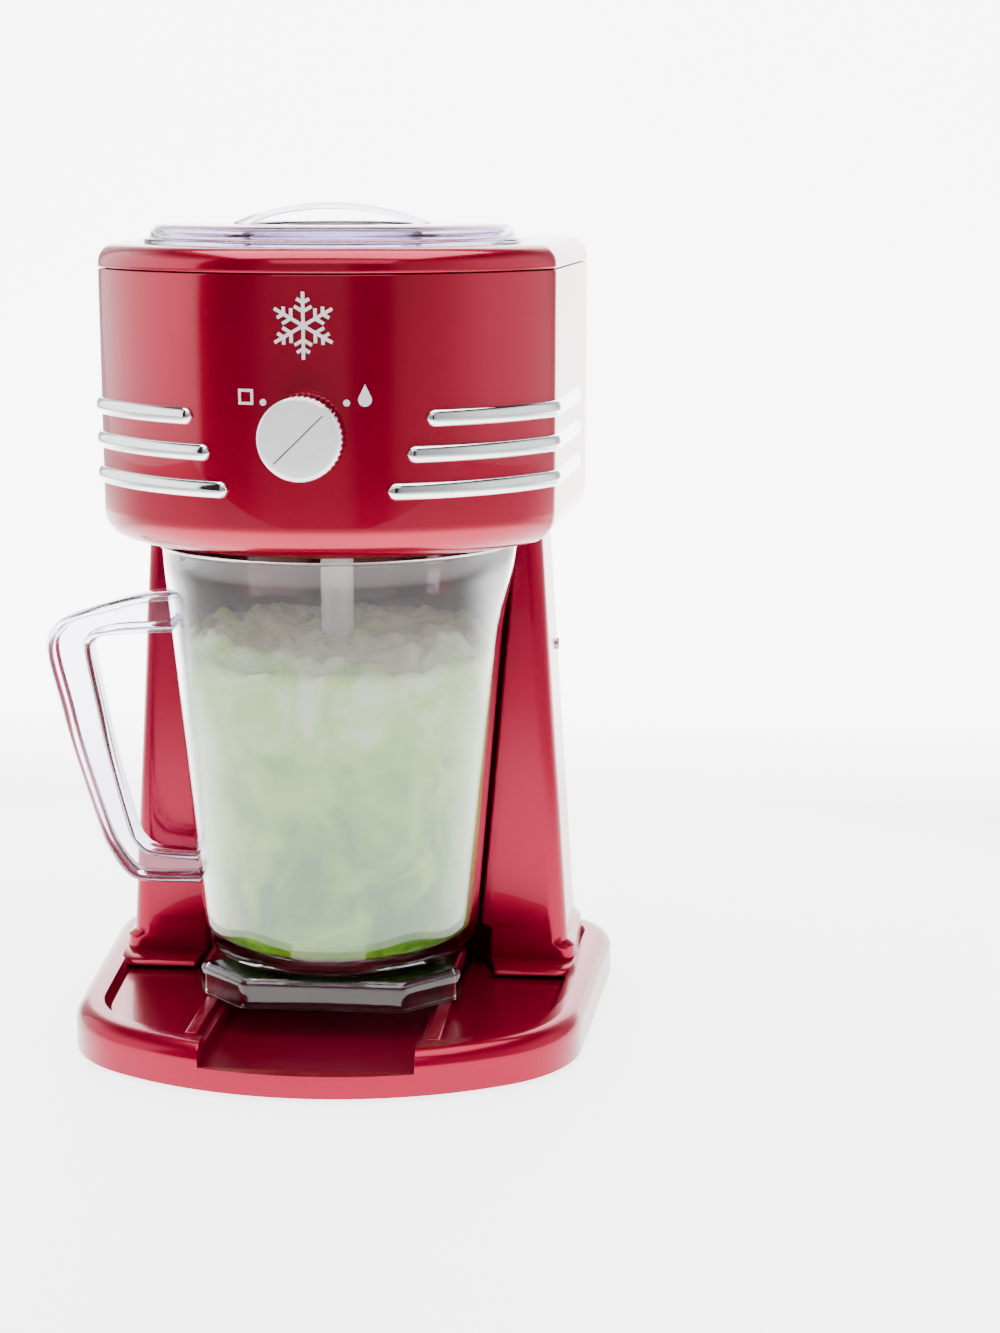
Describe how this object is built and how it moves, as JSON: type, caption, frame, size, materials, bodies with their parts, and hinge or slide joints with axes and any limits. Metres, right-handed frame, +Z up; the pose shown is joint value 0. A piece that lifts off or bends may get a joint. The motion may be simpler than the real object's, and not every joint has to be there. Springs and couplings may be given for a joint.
{
  "type": "slushie machine",
  "caption": "Countertop slushie machine: geared ice shaver head with lidded hopper and mode knob on a column and base, with a removable clear pitcher and a driven paddle.",
  "frame": {"origin": "on the surface that the feet stand on, below the vertical axis shared by the pitcher, the paddle, the drive shaft and the hopper", "axes": "+Z up, front towards -Y, pitcher handle towards -X"},
  "size_m": [0.2769, 0.239, 0.4047],
  "materials": {
    "red_shell": "high gloss, moulded",
    "black_plastic": "fine texture",
    "rubber": "matt",
    "chrome": "polished plating",
    "steel": "ground",
    "bronze": "sintered",
    "clear_lid": "clear, slightly violet",
    "clear_pitcher": "clear",
    "white_plastic": "satin",
    "gear_nylon": "moulded",
    "print_silver": "foil"
  },
  "bodies": {
    "housing": {"base_shell": "red_shell", "base_plate": "black_plastic", "rubber_feet": "rubber", "base_screws": "steel", "column_shell": "red_shell", "rear_cover": "black_plastic", "rear_screws": "steel", "side_screws": "steel", "cord_gland": "black_plastic", "head_shell": "red_shell", "head_floor": "red_shell", "head_cap": "red_shell", "trim_left_1": "chrome", "trim_left_2": "chrome", "trim_left_3": "chrome", "trim_right_1": "chrome", "trim_right_2": "chrome", "trim_right_3": "chrome", "front_ornament": "print_silver", "mode_marks": "print_silver", "selector_switch": "black_plastic", "selector_nut": "steel", "hopper": "red_shell", "ice_chute": "white_plastic", "blade_plate": "steel", "ice_blade": "steel", "blade_screws": "steel", "interlock_spring": "steel", "interlock_switch": "black_plastic", "upper_bushing": "bronze", "lower_bushing": "bronze", "gearbox_housing": "black_plastic", "gearbox_cover": "black_plastic", "idler_pin": "steel", "motor_can": "steel", "motor_bracket": "steel", "motor_screws": "steel"},
    "lid": {"hopper_lid": "clear_lid", "lid_handle": "clear_lid"},
    "knob": {"knob_skirt": "chrome", "knob_face": "chrome", "knob_pointer": "black_plastic", "selector_shaft": "steel"},
    "drive": {"output_gear": "gear_nylon", "drive_shaft": "steel", "drive_socket": "black_plastic", "impeller": "white_plastic"},
    "idler": {"idler_gear": "gear_nylon"},
    "motor": {"motor_shaft": "steel", "motor_pinion": "bronze", "motor_fan": "black_plastic"},
    "pitcher": {"pitcher_body": "clear_pitcher", "pitcher_foot": "clear_pitcher", "pitcher_handle": "clear_pitcher", "pitcher_pin": "steel"},
    "paddle": {"paddle": "white_plastic"},
    "interlock": {"interlock_pin": "steel"}
  },
  "joints": [
    {"name": "lid_lift", "type": "slide", "parent": "housing", "child": "lid", "axis": [0, 0, 1], "range_m": [0, 0.09]},
    {"name": "knob_turn", "type": "hinge", "parent": "housing", "child": "knob", "pos_m": [0, -0.1, 0.303], "axis": [0, -1, 0], "range_deg": [0, 92]},
    {"name": "drive_spin", "type": "hinge", "parent": "housing", "child": "drive", "pos_m": [0, 0, 0.26], "axis": [0, 0, 1], "continuous": true},
    {"name": "idler_spin", "type": "hinge", "parent": "housing", "child": "idler", "pos_m": [0, 0.036, 0.26], "axis": [0, 0, 1], "continuous": true},
    {"name": "motor_spin", "type": "hinge", "parent": "housing", "child": "motor", "pos_m": [0, 0.073, 0.27], "axis": [0, 0, 1], "continuous": true},
    {"name": "pitcher_out", "type": "slide", "parent": "housing", "child": "pitcher", "axis": [0, -1, 0], "range_m": [0, 0.2]},
    {"name": "paddle_spin", "type": "hinge", "parent": "pitcher", "child": "paddle", "pos_m": [0, 0, 0.05], "axis": [0, 0, 1], "continuous": true},
    {"name": "interlock_press", "type": "slide", "parent": "housing", "child": "interlock", "axis": [0, 0, 1], "range_m": [-0.003, 0], "stiffness_N_per_m": 300, "springref_m": 0.003, "deforming": ["interlock_spring"]}
  ],
  "couplings": [
    {"joint": "drive_spin", "follows": "idler_spin", "ratio": -0.28571},
    {"joint": "motor_spin", "follows": "idler_spin", "ratio": -4.2857},
    {"joint": "paddle_spin", "follows": "idler_spin", "ratio": -0.28571}
  ]
}
